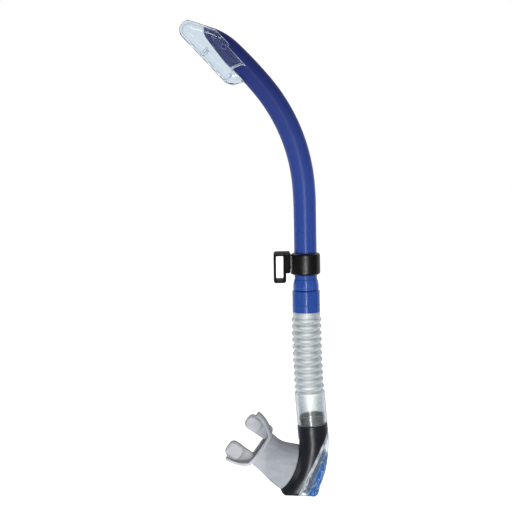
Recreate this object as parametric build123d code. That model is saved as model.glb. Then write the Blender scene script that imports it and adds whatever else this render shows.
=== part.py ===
# Snorkel tube: bent barrel with a clear splash guard, swivelling strap keeper,
# corrugated silicone hose, elbow housing with a purge valve, and a mouthpiece.
# Millimetres. Origin at the centre of the strap slot. +Z runs up the barrel's
# straight run, -X points towards the diver's mouth, Y = 0 is the middle plane.
import math
import os

from build123d import *

os.makedirs("parts", exist_ok=True)

# ---------------------------------------------------------------- barrel
BARREL_X = 24.7
RING_Z = 1.8
BARREL_R = 10.75
BORE_R = 9.25
BARREL_FOOT = -22.9
STRAIGHT_TOP = 54.5
BENDS = [(285.0, 4.6), (166.0, 34.8), (376.0, 6.6), (51.0, 32.6)]
HOOD_END_X = -90.6
MOUTH_TOP = (-90.0, 215.5)
MOUTH_FOOT = (-71.0, 189.3)
LUG_R = 2.0
LUG_REACH = 12.9

# ---------------------------------------------------------------- connector
SOCKET_R = 12.2
SOCKET_TOP = -13.6
SHOULDER = -23.8
SPIGOT_R = 11.0
SPIGOT_FOOT = -45.2
SPIGOT_GROOVE = -38.0
GLUE_GAP = 0.03

# ---------------------------------------------------------------- splash guard
GUARD_FOOT = (-73.1, 173.4)
GUARD_LEAN = 42.5
GUARD_HALF = 12.5
GUARD_WALL = 1.5
GUARD_LENGTH = 58.0
GUARD_RIM = 26.2
GUARD_RIM_TOP = 42.3
GUARD_RIM_FOOT = -3.9
GUARD_STEP = 2.4
GUARD_STEP_AT = 19.5
GUARD_ROUND = 8.0
NOSE_FRONT = (2.4, 62.1)
NOSE_TIP = (6.7, 64.6)
NOSE_BACK = (11.8, 64.5)
BELLY = (5.6, -9.1)
BELLY_FRONT = (1.2, -4.0)
CAP_CENTRE = (9.1, 55.6)
CAP_R = 9.3
HOOD_MEET = (22.0, 49.9)
CELL_FOOT = (12.0, -12.8)
LUG_AT = (21.2, 22.2)
RIB_T = 1.4
RIB_STATIONS = (0.6, 32.0)
VENTS = 4
VENT_FIRST = 9.0
VENT_PITCH = 11.5
VENT_LENGTH = 7.5
VENT_WIDTH = 9.0

# ---------------------------------------------------------------- keeper
RING_R = 14.0
RING_HALF = 10.4
RING_UP = 1.2
RING_ROUND = 2.6
LIP_R = 11.1
LIP_HALF = 8.0
POCKET_R = 12.45
LINER_R = 12.4
LINER_BORE_R = 10.8
LINER_HALF = 7.7
PAD_HALF_Y = 5.2
PAD_HALF_Z = 9.3
BOSS_FACE = 10.4
LOOP_LEFT = -5.8
LOOP_RIGHT = 6.1
LOOP_TOP = 15.6
LOOP_FOOT = -15.6
SLOT_HALF_X = 3.45
SLOT_HALF_Z = 12.8
LOOP_HALF_Y = 3.5
BLOCK_ROOT = 1.5
BLOCK_RIGHT = 10.1
BLOCK_FOOT = -5.4
LOOP_TILT = 19.0
RIVET_R = 1.5
RIVET_HEAD_R = 2.3
RECESS_R = 2.75
RECESS_FLOOR = 5.35

# ---------------------------------------------------------------- hose
HOSE_TOP = -24.1
HOSE_TURN = -50.0
HOSE_ARC_R = 1280.0
HOSE_ARC = 4.7
CUFF_R = 13.25
CUFF_BORE_R = 11.05
VALLEY_R = 12.65
RIB_R = 14.45
RIB_WIDTH = 3.7
RIBS = 11
RIB_PITCH = 6.5
FIRST_RIB = 2.6
SMOOTH_R = 14.7
SMOOTH_START = 69.5
HOSE_BORE_R = 9.75
SMOOTH_BORE_R = 12.1
HOSE_END_GAP = 0.8

# ---------------------------------------------------------------- elbow housing
UNIT_TILT = 4.683
UNIT_TOP = (4.273, -154.5)
UNIT_HALF_Y = 14.5
NECK_Q = 10.0
NECK_R = 14.5
INNER_EDGE = -15.0
OUTER_EDGE = 14.5
PORT_INSET = 0.8
PORT_TOP = 14.0
PORT_FOOT = 60.5
INNER_ARC_R = 70.0
INNER_ARC = 46.8
OUTER_ARC_R = 128.0
OUTER_ARC = 27.2
OUTER_ARC_START = 1.0
END_DEPTH = 4.2
END_ROUND = 6.5
UNIT_WALL = 2.0
UNIT_SPIGOT_R = 12.0
UNIT_SPIGOT_LEN = 9.0
SPLIT_AT = (-5.0, 41.1)
SPLIT_DIR = (-0.515, 0.857)
SEAT_HALF = 1.2

# ---------------------------------------------------------------- purge valve
VALVE_HOLE_R = 8.0
HUB_R = 3.4
SPOKES = 3
SPOKE_W = 2.2
DISC_R = 10.4
DISC_GAP = 0.3
DISC_T = 0.9
STEM_R = 1.2
STEM_HOLE_R = 1.28
BULB_R = 2.3
BULB_REACH = 5.0
LIFT = 1.2
DRAIN_W = 2.6
DRAIN_LEN = 18.0
DRAIN_Y = 8.6
TRIM_HALF_Y = 4.6
TRIM_T = 0.9

# ---------------------------------------------------------------- mouthpiece
MOUTH_AT = (-47.3, -176.85)
MOUTH_RISE = 36.2
DUCT_HALF_W = 17.5
DUCT_HALF_Y = 12.5
COLLAR_W = 15.5
COLLAR_Y = 10.0
COLLAR_WALL = 2.0
COLLAR_START = -27.0
COLLAR_END = -46.0
FLANGE_T = 3.2
FLANGE_HALF_Y = 12.5
FLANGE_HALF_W = 30.5
TAB_T = 4.4
PAD_T = 9.0
TAB_INNER = 8.6
TAB_OUTER = 24.0
TAB_TIP = 26.0


def at(x, z, y=0.0):
    """Point given from the barrel's axis at the ring's mid-height."""
    return Vector(BARREL_X + x, y, RING_Z + z)


def turned(profile):
    """Solid of revolution about the barrel's axis from (radius, height) corners."""
    wire = Wire.make_polygon([at(r, z) for r, z in profile], close=True)
    return revolve(Face(wire), axis=Axis(at(0, 0), (0, 0, 1)), revolution_arc=360)


def prism(plane, corners, half):
    """Prism of a flat outline, reaching the same distance each side of the plane."""
    wire = Wire.make_polygon([plane.from_local_coords((a, b, 0)) for a, b in corners], close=True)
    return extrude(Face(wire), amount=half, dir=plane.z_dir, both=True)


def bend_step(pos, heading, radius, angle):
    """Position after a bend towards -X that starts at a heading from vertical."""
    h0 = math.radians(heading)
    h1 = math.radians(heading + angle)
    x = pos[0] + radius * (math.cos(h1) - math.cos(h0))
    z = pos[1] + radius * (math.sin(h1) - math.sin(h0))
    return (x, z)


def barrel_path(foot):
    """Centreline of the barrel from a height on its straight run to its top end."""
    edges = [Edge.make_line(at(0, foot), at(0, STRAIGHT_TOP))]
    pos = (0.0, STRAIGHT_TOP)
    heading = 0.0
    for radius, angle in BENDS:
        mid = bend_step(pos, heading, radius, angle / 2)
        end = bend_step(pos, heading, radius, angle)
        edges.append(Edge.make_three_point_arc(at(*pos), at(*mid), at(*end)))
        pos = end
        heading = heading + angle
    return Wire(edges)


def barrel_rod(radius, foot):
    section = Plane(at(0, foot)) * Circle(radius)
    return sweep(section, path=barrel_path(foot))


# ================================================================ barrel
mouth_dx = MOUTH_FOOT[0] - MOUTH_TOP[0]
mouth_dz = MOUTH_FOOT[1] - MOUTH_TOP[1]
mouth_len = math.hypot(mouth_dx, mouth_dz)
mouth_plane = Plane(
    origin=at(*MOUTH_TOP),
    x_dir=(mouth_dx / mouth_len, 0, mouth_dz / mouth_len),
    z_dir=(0, -1, 0),
)
barrel_outer = barrel_rod(BARREL_R, BARREL_FOOT)
barrel = barrel_outer - barrel_rod(BORE_R, BARREL_FOOT)
barrel = barrel - Pos(*at(HOOD_END_X - 20, 215)) * Box(40, 60, 60)
barrel = barrel - prism(mouth_plane, [(-25, 0), (60, 0), (60, -60), (-25, -60)], 30)

lean = math.radians(GUARD_LEAN)
guard_n = Vector(math.cos(lean), 0, math.sin(lean))
guard_s = Vector(-math.sin(lean), 0, math.cos(lean))
guard_plane = Plane(origin=at(*GUARD_FOOT), x_dir=guard_n, z_dir=(0, -1, 0))
lug_point = guard_plane.from_local_coords((LUG_AT[0], LUG_AT[1], 0))
lug_plane = Plane(origin=lug_point, z_dir=(0, 1, 0))
lug_bar = extrude(lug_plane * Circle(LUG_R), amount=LUG_REACH, both=True)
barrel = barrel + (lug_bar - barrel_rod(BORE_R + 0.4, BARREL_FOOT))

# ================================================================ connector
connector = turned([
    (SPIGOT_R - 0.8, SPIGOT_FOOT),
    (SPIGOT_R, SPIGOT_FOOT + 0.8),
    (SPIGOT_R, SPIGOT_GROOVE - 0.7),
    (SPIGOT_R - 0.5, SPIGOT_GROOVE - 0.4),
    (SPIGOT_R - 0.5, SPIGOT_GROOVE + 0.4),
    (SPIGOT_R, SPIGOT_GROOVE + 0.7),
    (SPIGOT_R, SHOULDER),
    (SOCKET_R - 0.5, SHOULDER),
    (SOCKET_R, SHOULDER + 0.5),
    (SOCKET_R, SOCKET_TOP - 6.2),
    (SOCKET_R - 0.18, SOCKET_TOP - 4.4),
    (SOCKET_R - 0.55, SOCKET_TOP - 2.6),
    (BARREL_R + 0.5, SOCKET_TOP - 0.6),
    (BARREL_R + 0.2, SOCKET_TOP),
    (BARREL_R + GLUE_GAP, SOCKET_TOP),
    (BARREL_R + GLUE_GAP, BARREL_FOOT - 0.1),
    (BORE_R, BARREL_FOOT - 0.1),
    (BORE_R, SPIGOT_FOOT),
])

# ================================================================ splash guard
def guard_side(inset, reach):
    """Side outline of the guard, inset from its outer skin, open past the rim."""
    cap_a = math.radians(50.0)
    cap_r = CAP_R - inset
    cap_tip = (CAP_CENTRE[0] + cap_r * math.cos(cap_a), CAP_CENTRE[1] + cap_r * math.sin(cap_a))
    left = CAP_CENTRE[0] - cap_r
    crown = (CAP_CENTRE[0] - cap_r * math.sin(math.radians(25)),
             CAP_CENTRE[1] + cap_r * math.cos(math.radians(25)))
    p = guard_plane.from_local_coords
    slope = (GUARD_RIM_TOP - HOOD_MEET[1]) / (GUARD_RIM - HOOD_MEET[0])
    meet = (HOOD_MEET[0], HOOD_MEET[1] - inset * 1.2)
    top = (GUARD_RIM + reach, GUARD_RIM_TOP + slope * reach - inset * 1.2)
    step_top = (GUARD_RIM + reach, GUARD_STEP_AT + 2.0)
    step_foot = (GUARD_RIM + reach - (0 if reach else GUARD_STEP), GUARD_STEP_AT)
    foot = (step_foot[0], GUARD_RIM_FOOT + inset)
    heel = (CELL_FOOT[0] + 0.8, 3.0 + inset)
    cell = (CELL_FOOT[0] + 0.8, CELL_FOOT[1] + inset * 1.6)
    belly = (6.2, -9.7 + inset * 1.2)
    toe = (0.3 + inset, -0.6 + inset * 0.6)
    edges = [
        Edge.make_line(p((left, 2.5, 0)), p((left, CAP_CENTRE[1], 0))),
        Edge.make_three_point_arc(
            p((left, CAP_CENTRE[1], 0)), p((crown[0], crown[1], 0)), p((cap_tip[0], cap_tip[1], 0))
        ),
        Edge.make_line(p((cap_tip[0], cap_tip[1], 0)), p((meet[0], meet[1], 0))),
        Edge.make_line(p((meet[0], meet[1], 0)), p((top[0], top[1], 0))),
        Edge.make_line(p((top[0], top[1], 0)), p((step_top[0], step_top[1], 0))),
        Edge.make_line(p((step_top[0], step_top[1], 0)), p((step_foot[0], step_foot[1], 0))),
        Edge.make_line(p((step_foot[0], step_foot[1], 0)), p((foot[0], foot[1], 0))),
        Edge.make_line(p((foot[0], foot[1], 0)), p((22.2, -0.7 + inset, 0))),
        Edge.make_line(p((22.2, -0.7 + inset, 0)), p((heel[0], heel[1], 0))),
        Edge.make_line(p((heel[0], heel[1], 0)), p((cell[0], cell[1], 0))),
        Edge.make_line(p((cell[0], cell[1], 0)), p((belly[0], belly[1], 0))),
        Edge.make_three_point_arc(
            p((belly[0], belly[1], 0)), p((toe[0] + 0.9, toe[1] - 3.6, 0)), p((left, 2.5, 0))
        ),
    ]
    return Face(Wire(edges))


def trough(n, s, inward, inset):
    """Round-edged channel whose floor touches a point of the outline, square to inward."""
    a = math.radians(inward)
    into = guard_n * math.cos(a) + guard_s * math.sin(a)
    along = guard_s * math.cos(a) - guard_n * math.sin(a)
    foot = guard_plane.from_local_coords((n, s, 0)) + into * inset
    section = Pos(45, 0) * RectangleRounded(90, 2 * (GUARD_HALF - inset), GUARD_ROUND - inset)
    return extrude(Plane(origin=foot, x_dir=into, z_dir=along) * section, amount=110, both=True)


def guard_form(inset, reach):
    """Guard body with its side edges rounded along the wall, the nose, the roof and the belly."""
    body = extrude(guard_side(inset, reach), amount=GUARD_HALF - inset, dir=(0, 1, 0), both=True)
    body = body & trough(0, 20, 0, inset)
    for (n, s), inward in (
        (NOSE_FRONT, -44.0),
        (NOSE_TIP, -75.0),
        (NOSE_BACK, -107.0),
        (HOOD_MEET, -151.6),
        (BELLY, 59.4),
        (BELLY_FRONT, 28.0),
    ):
        body = body & trough(n, s, inward, inset)
    return body


guard_skin = guard_form(0.0, 0.0)
guard_void = guard_form(GUARD_WALL, 9.0)
guard = guard_skin - guard_void
for station in RIB_STATIONS:
    rib_mid = guard_plane.from_local_coords((5.2, station, 0))
    rib_plane = Plane(origin=rib_mid, x_dir=guard_n, z_dir=guard_s)
    rib = rib_plane * (Box(8.6, 2 * GUARD_HALF, RIB_T) - Box(6.2, 2 * 7.0, 2 * RIB_T))
    guard = guard + (rib & guard_skin)
for vent in range(VENTS):
    vent_mid = guard_plane.from_local_coords((0, VENT_FIRST + vent * VENT_PITCH, 0))
    vent_plane = Plane(origin=vent_mid, x_dir=guard_s, z_dir=guard_n)
    vent_cut = extrude(vent_plane * RectangleRounded(VENT_LENGTH, VENT_WIDTH, 2.5), amount=3.0, both=True)
    guard = guard - vent_cut
guard = guard - extrude(lug_plane * Circle(LUG_R + GLUE_GAP), amount=20, both=True)
guard = guard - barrel_rod(BARREL_R + GLUE_GAP, 60.0 - 10.0)

# ================================================================ keeper
def ring_profile():
    z0 = RING_HALF - RING_ROUND
    r0 = RING_R - RING_ROUND
    k = math.sqrt(0.5)
    edges = []
    corners = [
        (LIP_R, RING_HALF), (LIP_R, LIP_HALF), (POCKET_R, LIP_HALF),
        (POCKET_R, -LIP_HALF), (LIP_R, -LIP_HALF), (LIP_R, -RING_HALF), (r0, -RING_HALF),
    ]
    for a, b in zip(corners[:-1], corners[1:]):
        edges.append(Edge.make_line(at(*a), at(*b)))
    low_mid = (r0 + RING_ROUND * k, -z0 - RING_ROUND * k)
    top_mid = (r0 + RING_ROUND * k, z0 + RING_ROUND * k)
    edges.append(Edge.make_three_point_arc(at(r0, -RING_HALF), at(*low_mid), at(RING_R, -z0)))
    edges.append(Edge.make_line(at(RING_R, -z0), at(RING_R, z0)))
    edges.append(Edge.make_three_point_arc(at(RING_R, z0), at(*top_mid), at(r0, RING_HALF)))
    edges.append(Edge.make_line(at(r0, RING_HALF), at(LIP_R, RING_HALF)))
    return Face(Wire(edges))


def x_rod(radius, x0, x1):
    """Round bar along the swivel axis between two X positions."""
    return extrude(Plane(origin=(x0, 0, 0), z_dir=(1, 0, 0)) * Circle(radius), amount=x1 - x0)


ring = revolve(ring_profile(), axis=Axis(at(0, 0), (0, 0, 1)), revolution_arc=360)
ring = ring.moved(Location((0, 0, RING_UP)))
pad_plane = Plane(origin=(BOSS_FACE, 0, RING_Z + RING_UP), x_dir=(0, 1, 0), z_dir=(1, 0, 0))
pad = extrude(pad_plane * RectangleRounded(2 * PAD_HALF_Y, 2 * PAD_HALF_Z, 1.6), amount=4.6)
pad = pad - extrude(Plane(at(0, -20)) * Circle(POCKET_R + 0.4), amount=60)
ring = ring + pad
ring = ring - x_rod(RIVET_R + 0.02, BOSS_FACE - 1, BARREL_X - POCKET_R - 0.3)

liner = turned([
    (LINER_BORE_R, RING_UP - LINER_HALF),
    (LINER_R, RING_UP - LINER_HALF),
    (LINER_R, RING_UP + LINER_HALF),
    (LINER_BORE_R, RING_UP + LINER_HALF),
])

loop_w = LOOP_RIGHT - LOOP_LEFT
loop_h = LOOP_TOP - LOOP_FOOT
loop_mid = ((LOOP_LEFT + LOOP_RIGHT) / 2, (LOOP_TOP + LOOP_FOOT) / 2)
face_plane = Plane(origin=(0, 0, 0), x_dir=(1, 0, 0), z_dir=(0, -1, 0))
loop = extrude(
    face_plane * (Pos(loop_mid[0], loop_mid[1]) * RectangleRounded(loop_w, loop_h, 2.4)),
    amount=LOOP_HALF_Y, both=True,
)
block_mid_x = (BLOCK_ROOT + BLOCK_RIGHT) / 2
block_mid_z = (LOOP_TOP + BLOCK_FOOT) / 2
block_w = BLOCK_RIGHT - BLOCK_ROOT
block_h = LOOP_TOP - BLOCK_FOOT
block = extrude(
    face_plane * (Pos(block_mid_x, block_mid_z) * RectangleRounded(block_w, block_h, 1.6)),
    amount=LOOP_HALF_Y, both=True,
)
loop = loop + block
loop = loop - extrude(
    face_plane * RectangleRounded(2 * SLOT_HALF_X, 2 * SLOT_HALF_Z, 1.0),
    amount=LOOP_HALF_Y + 2, both=True,
)
long_faces = loop.faces().sort_by(Axis.Y)
loop = fillet(long_faces[0].edges() + long_faces[-1].edges(), 0.9)
loop = loop - x_rod(RIVET_R + 0.05, SLOT_HALF_X - 1, BLOCK_RIGHT + 1)
loop = loop - x_rod(RECESS_R, SLOT_HALF_X - 1, RECESS_FLOOR)
loop = loop.rotate(Axis.X, LOOP_TILT)

washer_right = RECESS_FLOOR - 0.3
washer_left = washer_right - 0.5
washer = x_rod(RECESS_R - 0.3, washer_left, washer_right)
washer = washer - x_rod(RIVET_R + 0.02, washer_left - 1, washer_right + 1)
rivet = x_rod(RIVET_R, washer_left, BARREL_X - POCKET_R - 0.45)
rivet = rivet + x_rod(RIVET_HEAD_R, SLOT_HALF_X + 0.15, washer_left)

# ================================================================ hose
def hose_point(run):
    a = run / HOSE_ARC_R
    return (HOSE_ARC_R * (1 - math.cos(a)), HOSE_TURN - HOSE_ARC_R * math.sin(a))


def hose_plane(run):
    a = run / HOSE_ARC_R
    return Plane(origin=at(*hose_point(run)), x_dir=(0, 1, 0), z_dir=(-math.sin(a), 0, math.cos(a)))


def hose_rod(radius, run0, run1):
    """Round bar along the hose's curved centreline between two run lengths."""
    p0 = hose_point(run0)
    p1 = hose_point((run0 + run1) / 2)
    p2 = hose_point(run1)
    path = Wire([Edge.make_three_point_arc(at(*p0), at(*p1), at(*p2))])
    return sweep(hose_plane(run0) * Circle(radius), path=path)


hose_len = HOSE_ARC_R * math.radians(HOSE_ARC) - HOSE_END_GAP
hose = turned([
    (0, HOSE_TURN), (CUFF_R, HOSE_TURN), (CUFF_R, HOSE_TOP - 1.0), (CUFF_R - 1.0, HOSE_TOP), (0, HOSE_TOP),
])
hose = hose + hose_rod(VALLEY_R, 0, SMOOTH_START + 2)
rib_solid = Cylinder(RIB_R, RIB_WIDTH)
rib_solid = fillet(rib_solid.edges().filter_by(GeomType.CIRCLE), 1.6)
for rib in range(RIBS):
    hose = hose + hose_plane(FIRST_RIB + rib * RIB_PITCH) * rib_solid
hose = hose + hose_rod(SMOOTH_R, SMOOTH_START, hose_len)
bore_foot = hose_point(SMOOTH_START + 3)
bore_mid = hose_point(SMOOTH_START / 2)
bore_path = Wire([
    Edge.make_line(at(0, SPIGOT_FOOT + 2), at(0, HOSE_TURN)),
    Edge.make_three_point_arc(at(0, HOSE_TURN), at(*bore_mid), at(*bore_foot)),
])
bore_start = Plane(origin=at(0, SPIGOT_FOOT + 2), x_dir=(0, 1, 0), z_dir=(0, 0, -1))
hose = hose - sweep(bore_start * Circle(HOSE_BORE_R), path=bore_path)
hose = hose - turned([
    (0, SPIGOT_FOOT - 0.3), (CUFF_BORE_R, SPIGOT_FOOT - 0.3), (CUFF_BORE_R, HOSE_TOP + 1), (0, HOSE_TOP + 1),
])
hose = hose - hose_rod(SMOOTH_BORE_R, SMOOTH_START + 2, hose_len + 1)

# ================================================================ elbow housing
tilt = math.radians(UNIT_TILT)
unit_r = Vector(math.cos(tilt), 0, math.sin(tilt))
unit_q = Vector(math.sin(tilt), 0, -math.cos(tilt))
unit_plane = Plane(origin=at(*UNIT_TOP), x_dir=unit_r, z_dir=(0, 1, 0))


def unit_at(r, q, y=0.0):
    return at(*UNIT_TOP) + unit_r * r + unit_q * q + Vector(0, y, 0)


def station(f):
    """Inner and outer edge points of the elbow, f from the neck to the foot."""
    a = math.radians(INNER_ARC * f)
    b = math.radians(OUTER_ARC_START + (OUTER_ARC - OUTER_ARC_START) * f)
    inner = (INNER_EDGE - INNER_ARC_R * (1 - math.cos(a)), NECK_Q + INNER_ARC_R * math.sin(a))
    outer = (OUTER_EDGE - OUTER_ARC_R * (1 - math.cos(b)), 8.0 + OUTER_ARC_R * math.sin(b))
    return inner, outer


def oval(f, depth, inset):
    """Oval cross-section of the elbow at a station, moved further along by depth."""
    inner, outer = station(f)
    width = math.hypot(outer[0] - inner[0], outer[1] - inner[1])
    dr = (outer[0] - inner[0]) / width
    dq = (outer[1] - inner[1]) / width
    mid = ((inner[0] + outer[0]) / 2 - dq * depth, (inner[1] + outer[1]) / 2 + dr * depth)
    x_dir = unit_r * dr + unit_q * dq
    z_dir = unit_r * (-dq) + unit_q * dr
    plane = Plane(origin=unit_at(*mid), x_dir=x_dir, z_dir=z_dir)
    return plane * Ellipse(width / 2 - inset, UNIT_HALF_Y - inset)


def elbow(inset, top, bottom):
    """Elbow body inset from its outer skin, between a top level and a foot depth."""
    neck = Plane(origin=unit_at(0, top), x_dir=unit_r, z_dir=unit_q)
    sections = [neck * Ellipse(NECK_R - inset, UNIT_HALF_Y - inset)]
    for f in (0.0, 0.25, 0.5, 0.75, 1.0):
        sections.append(oval(f, 0.0, inset))
    sections.append(oval(1.0, bottom + 1.0, inset))
    inner, outer = station(1.0)
    width = math.hypot(outer[0] - inner[0], outer[1] - inner[1])
    dr = (outer[0] - inner[0]) / width
    dq = (outer[1] - inner[1]) / width
    mid = ((inner[0] + outer[0]) / 2 - dq * bottom, (inner[1] + outer[1]) / 2 + dr * bottom)
    across = unit_r * dr + unit_q * dq
    up = unit_r * dq - unit_q * dr
    facing = 1 if across.cross(up).Y < 0 else -1
    side = Plane(origin=unit_at(*mid), x_dir=across, z_dir=(0, facing, 0))
    front = Plane(origin=unit_at(*mid), x_dir=(0, 1, 0), z_dir=across)
    side_up = 1 if side.y_dir.dot(up) > 0 else -1
    front_up = 1 if front.y_dir.dot(up) > 0 else -1
    side_shape = Pos(0, side_up * 20) * RectangleRounded(width + 1.4 - 2 * inset, 40, END_ROUND - inset)
    side_shape = side_shape + Pos(0, side_up * 112) * Rectangle(400, 200)
    front_width = 2 * (UNIT_HALF_Y - inset) + 0.4
    front_shape = Pos(0, front_up * 60) * RectangleRounded(front_width, 120, END_ROUND - inset)
    body = loft(sections)
    body = body & extrude(side * side_shape, amount=40, both=True)
    return body & extrude(front * front_shape, amount=60, both=True)


def split_side(start, end):
    """Slab square to the purge valve's axis between two distances along it."""
    centre = (start + end) / 2
    return split_plane.offset(centre) * Box(200, 80, end - start)


split_t = unit_r * SPLIT_DIR[0] + unit_q * SPLIT_DIR[1]
split_m = unit_r * SPLIT_DIR[1] + unit_q * (-SPLIT_DIR[0])
split_plane = Plane(origin=unit_at(*SPLIT_AT), x_dir=split_t, z_dir=split_m)

envelope = elbow(0.0, 0.0, END_DEPTH)
cavity = elbow(UNIT_WALL, 2.2, END_DEPTH - UNIT_WALL)

rise = math.radians(MOUTH_RISE)
mouth_a = Vector(-math.cos(rise), 0, math.sin(rise))
mouth_w = Vector(math.sin(rise), 0, math.cos(rise))
mouth_plane_yz = Plane(origin=at(*MOUTH_AT), x_dir=mouth_a, z_dir=(0, 1, 0))


def mouth_section(a, w, half_w, half_y, turn=0.0):
    """Oval section across the mouthpiece's duct at a distance along its axis."""
    t = math.radians(turn)
    origin = at(*MOUTH_AT) + mouth_a * a + mouth_w * w
    x_dir = mouth_w * math.cos(t) + mouth_a * math.sin(t)
    z_dir = mouth_a * math.cos(t) - mouth_w * math.sin(t)
    return Plane(origin=origin, x_dir=x_dir, z_dir=z_dir) * Ellipse(half_w, half_y)


collar_outer = loft([
    mouth_section(COLLAR_START, -0.6, COLLAR_W, COLLAR_Y),
    mouth_section(COLLAR_END, -0.6, COLLAR_W, COLLAR_Y),
])
collar_inner = loft([
    mouth_section(COLLAR_START + 1, -0.6, COLLAR_W - COLLAR_WALL, COLLAR_Y - COLLAR_WALL),
    mouth_section(COLLAR_END - 4, -0.6, COLLAR_W - COLLAR_WALL, COLLAR_Y - COLLAR_WALL),
])
spigot_plane = Plane(origin=unit_at(0, 0.5), x_dir=unit_r, z_dir=unit_q * -1)


def duct_form(inset):
    """Outer form of the mouthpiece's duct, running on into the elbow."""
    return loft([
        mouth_section(0.5, -0.6, DUCT_HALF_W - inset, DUCT_HALF_Y - inset),
        mouth_section(-9.0, -0.7, DUCT_HALF_W + 0.4 - inset, DUCT_HALF_Y - inset),
        mouth_section(-18.0, -0.6, DUCT_HALF_W + 1.8 - inset, DUCT_HALF_Y - inset, -2.0),
        mouth_section(-26.6, 1.5, 22.9 - inset, DUCT_HALF_Y - inset, -10.0),
        mouth_section(-33.5, 2.3, 25.2 - inset, DUCT_HALF_Y - inset, -17.0),
        mouth_section(-48.0, 2.0, 26.0 - inset, DUCT_HALF_Y - 0.4 - inset, -17.0),
    ])


port_a = math.asin((PORT_FOOT - NECK_Q) / INNER_ARC_R)
port_r = INNER_EDGE + PORT_INSET
port_mid = (port_r - INNER_ARC_R * (1 - math.cos(port_a / 2)), NECK_Q + INNER_ARC_R * math.sin(port_a / 2))
port_end = (port_r - INNER_ARC_R * (1 - math.cos(port_a)), PORT_FOOT)
port_tail = (port_end[0] - 20 * math.sin(port_a), port_end[1] + 20 * math.cos(port_a))
saddle_face = Face(Wire([
    Edge.make_line(unit_at(port_r, -8), unit_at(port_r, NECK_Q)),
    Edge.make_three_point_arc(unit_at(port_r, NECK_Q), unit_at(*port_mid), unit_at(*port_end)),
    Edge.make_line(unit_at(*port_end), unit_at(*port_tail)),
    Edge.make_line(unit_at(*port_tail), unit_at(60, port_tail[1])),
    Edge.make_line(unit_at(60, port_tail[1]), unit_at(60, -8)),
    Edge.make_line(unit_at(60, -8), unit_at(port_r, -8)),
]))
saddle = extrude(saddle_face, amount=30, dir=(0, 1, 0), both=True)
port_zone = extrude(
    Face(Wire.make_polygon([
        unit_at(-70, PORT_TOP), unit_at(-2, PORT_TOP), unit_at(-2, PORT_FOOT), unit_at(-70, PORT_FOOT),
    ], close=True)),
    amount=30, dir=(0, 1, 0), both=True,
)
duct = duct_form(0.0)
port_boss = (duct_form(0.6) & saddle) & port_zone
housing = (envelope - (port_zone - saddle)) + port_boss
housing = housing - cavity
housing = housing - split_side(-SEAT_HALF, 120)
housing = housing + extrude(spigot_plane * Circle(UNIT_SPIGOT_R), amount=UNIT_SPIGOT_LEN + 0.5)
housing = housing + (collar_outer - cavity)
housing = housing - collar_inner
bore_plane = Plane(origin=unit_at(0, 6.0), x_dir=unit_r, z_dir=unit_q * -1)
housing = housing - extrude(bore_plane * Circle(HOSE_BORE_R), amount=20)

# ================================================================ purge seat and cover
seat = envelope & split_side(-SEAT_HALF, SEAT_HALF)
seat = seat - split_plane.offset(-3) * extrude(Circle(VALVE_HOLE_R), amount=6)
seat = seat + split_plane.offset(-SEAT_HALF) * extrude(Circle(HUB_R), amount=2 * SEAT_HALF)
for spoke in range(SPOKES):
    arm = Pos(VALVE_HOLE_R / 2 + 0.5, 0, 0) * Box(VALVE_HOLE_R + 1.0, SPOKE_W, 2 * SEAT_HALF)
    seat = seat + split_plane * (Rot(0, 0, 90 + spoke * 360 / SPOKES) * arm)
seat = seat - split_plane.offset(-3) * extrude(Circle(STEM_HOLE_R), amount=6)

cover = (envelope - cavity) & split_side(SEAT_HALF, 120)
trim_core = elbow(TRIM_T, 5.0, END_DEPTH - TRIM_T)
trim_zone = split_plane * (Pos(18.0, 0, 60 + 3.2) * Box(44.0, 2 * TRIM_HALF_Y, 120))
trim = (cover & trim_zone) - trim_core
trim = trim.solids().sort_by(SortBy.VOLUME)[-1]
cover = cover - trim
for side in (-1, 1):
    drain = Pos(8.0, side * DRAIN_Y, 20) * Box(DRAIN_LEN, DRAIN_W, 34)
    cover = cover - split_plane * drain

disc = extrude(Circle(DISC_R), amount=DISC_T)
stem = extrude(Circle(STEM_R), amount=-(SEAT_HALF + DISC_GAP + BULB_REACH - 1.2))
bulb_top = -(2 * SEAT_HALF + DISC_GAP + LIFT + 0.4)
bulb = Pos(0, 0, bulb_top - BULB_R) * Sphere(BULB_R)
bulb = bulb & (Pos(0, 0, bulb_top - 1 - BULB_R) * Box(10, 10, 2 * BULB_R + 2))
diaphragm = split_plane.offset(SEAT_HALF + DISC_GAP) * (disc + stem + bulb)

# ================================================================ mouthpiece
def arc_band(start, mid, end):
    """Plan-view band of the flange, bent through three points."""
    arc = ThreePointArc(start, mid, end)
    return trace(arc, line_width=FLANGE_T)


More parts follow.
